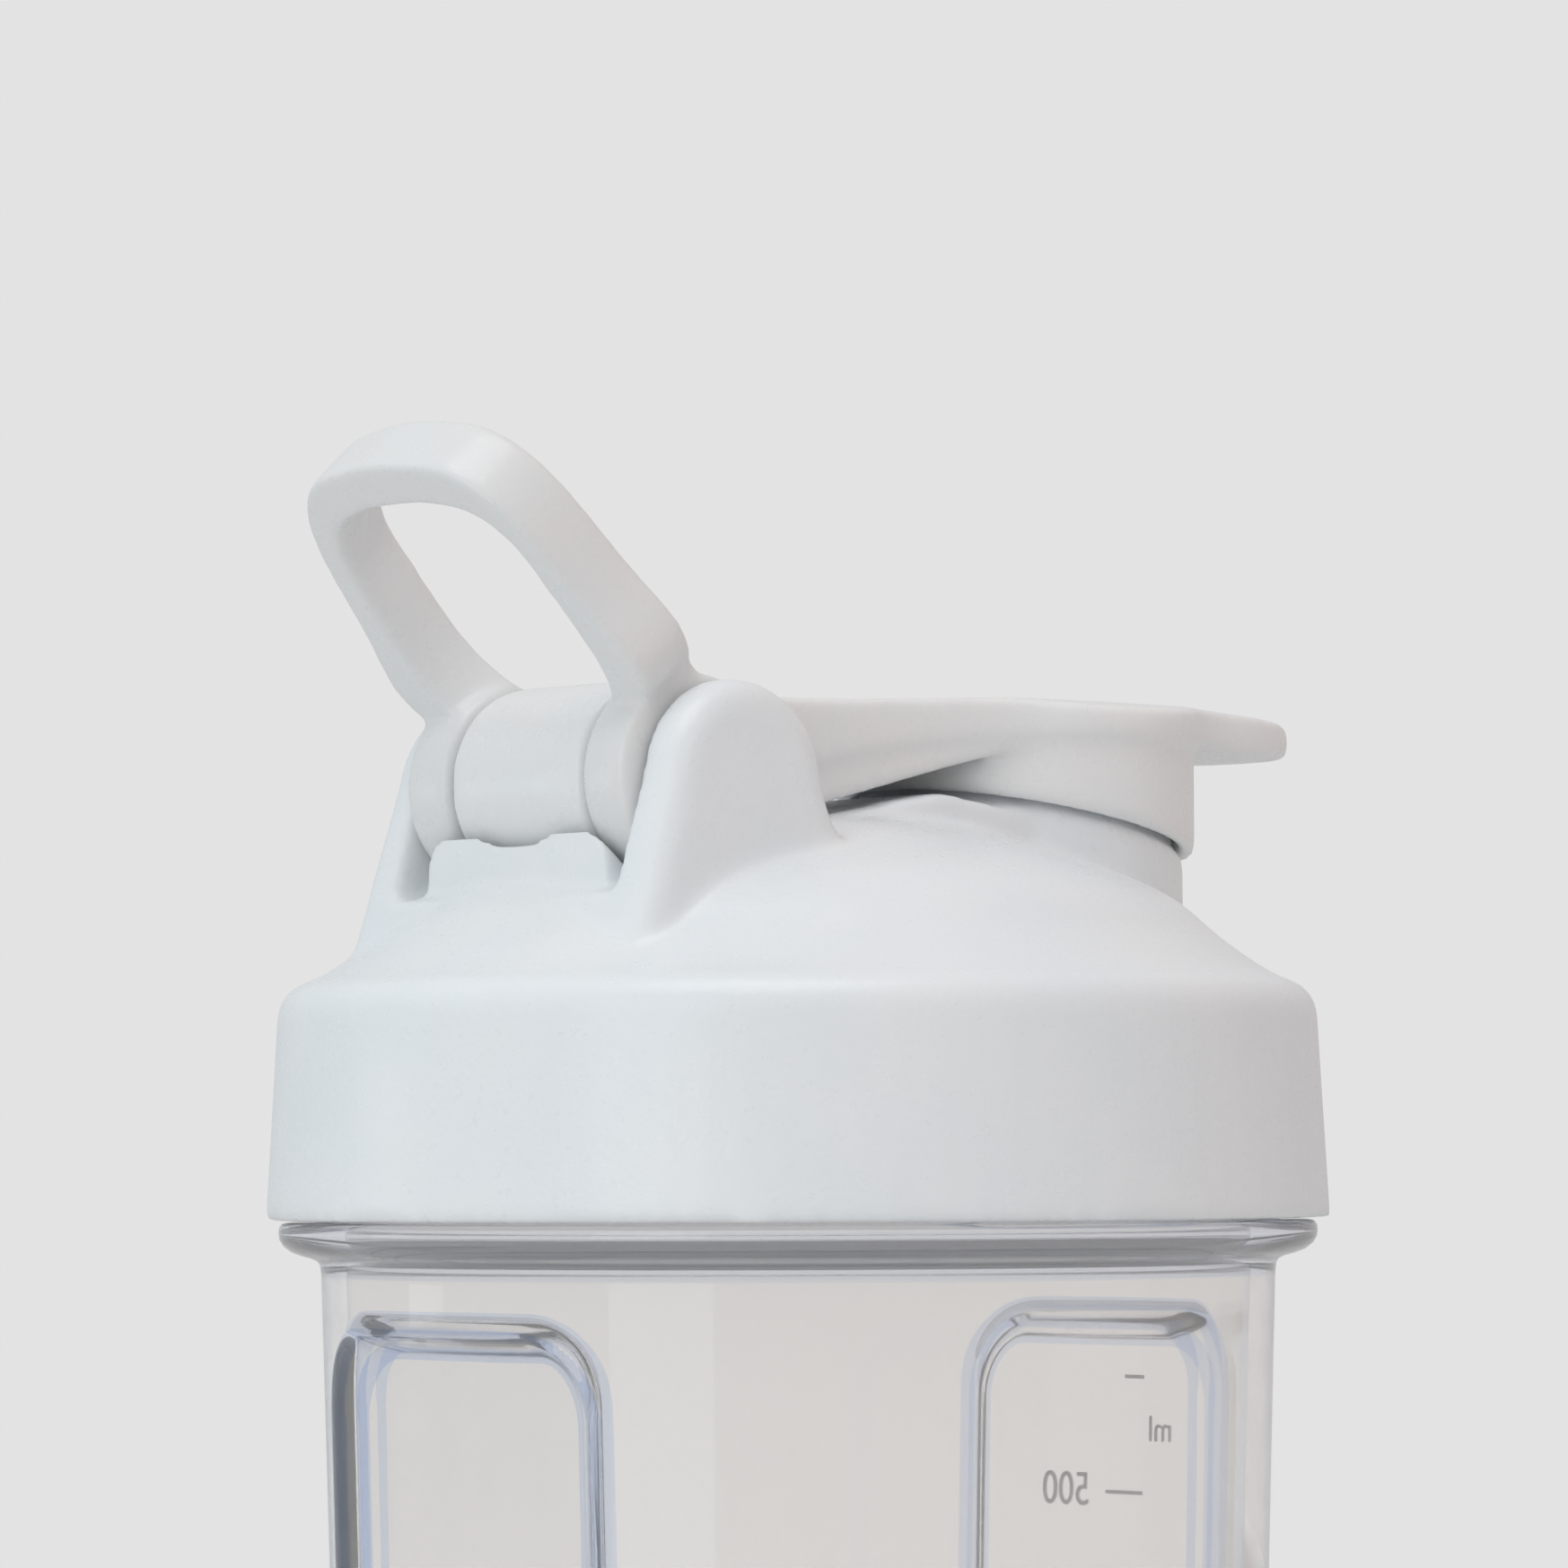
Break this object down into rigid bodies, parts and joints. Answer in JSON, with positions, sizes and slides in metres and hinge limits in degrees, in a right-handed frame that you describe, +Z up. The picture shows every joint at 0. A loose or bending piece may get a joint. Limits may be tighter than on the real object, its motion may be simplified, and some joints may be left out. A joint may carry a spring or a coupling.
{
  "type": "protein shaker bottle",
  "caption": "Clear shaker bottle with a screw lid, flip-cap drinking spout, carry loop and wire whisk ball.",
  "frame": {"origin": "centre of the base, on the surface the bottle stands on", "axes": "+Z up along the bottle, -Y towards the spout, +Y towards the hinge, +X to the left of someone drinking"},
  "size_m": [0.0948, 0.1048, 0.217],
  "materials": {
    "clear_body": "clear copolyester, gloss",
    "lid_shell": "white polypropylene, fine satin texture",
    "cap_plastic": "white polypropylene, smooth satin",
    "loop_plastic": "white polypropylene, smooth satin",
    "seal": "soft elastomer, matt",
    "wire": "polished stainless steel wire"
  },
  "bodies": {
    "bottle": {"bottle_body": "clear_body"},
    "seal_ring": {"lid_seal": "seal"},
    "lid": {"screw_lid": "lid_shell"},
    "cap": {"flip_cap": "cap_plastic", "spout_seal": "seal"},
    "loop": {"carry_loop": "loop_plastic"},
    "whisk": {"whisk_ball": "wire"}
  },
  "joints": [
    {"name": "lid_lift", "type": "slide", "parent": "bottle", "child": "seal_ring", "axis": [0, 0, 1], "range_m": [0, 0.00625]},
    {"name": "lid_turn", "type": "hinge", "parent": "seal_ring", "child": "lid", "pos_m": [0, 0, 0.148], "axis": [0, 0, 1], "range_deg": [0, 450]},
    {"name": "cap_flip", "type": "hinge", "parent": "lid", "child": "cap", "pos_m": [0, 0.0234, 0.1861], "axis": [-1, 0, 0], "range_deg": [0, 98]},
    {"name": "loop_swing", "type": "hinge", "parent": "lid", "child": "loop", "pos_m": [0, 0.0234, 0.1861], "axis": [-1, 0, 0], "range_deg": [0, 54]},
    {"name": "ball_rattle", "type": "slide", "parent": "bottle", "child": "whisk", "axis": [0, 0, 1], "range_m": [0, 0.1]}
  ],
  "couplings": [
    {"joint": "lid_lift", "follows": "lid_turn", "m_per_rad": 0.00079577}
  ]
}
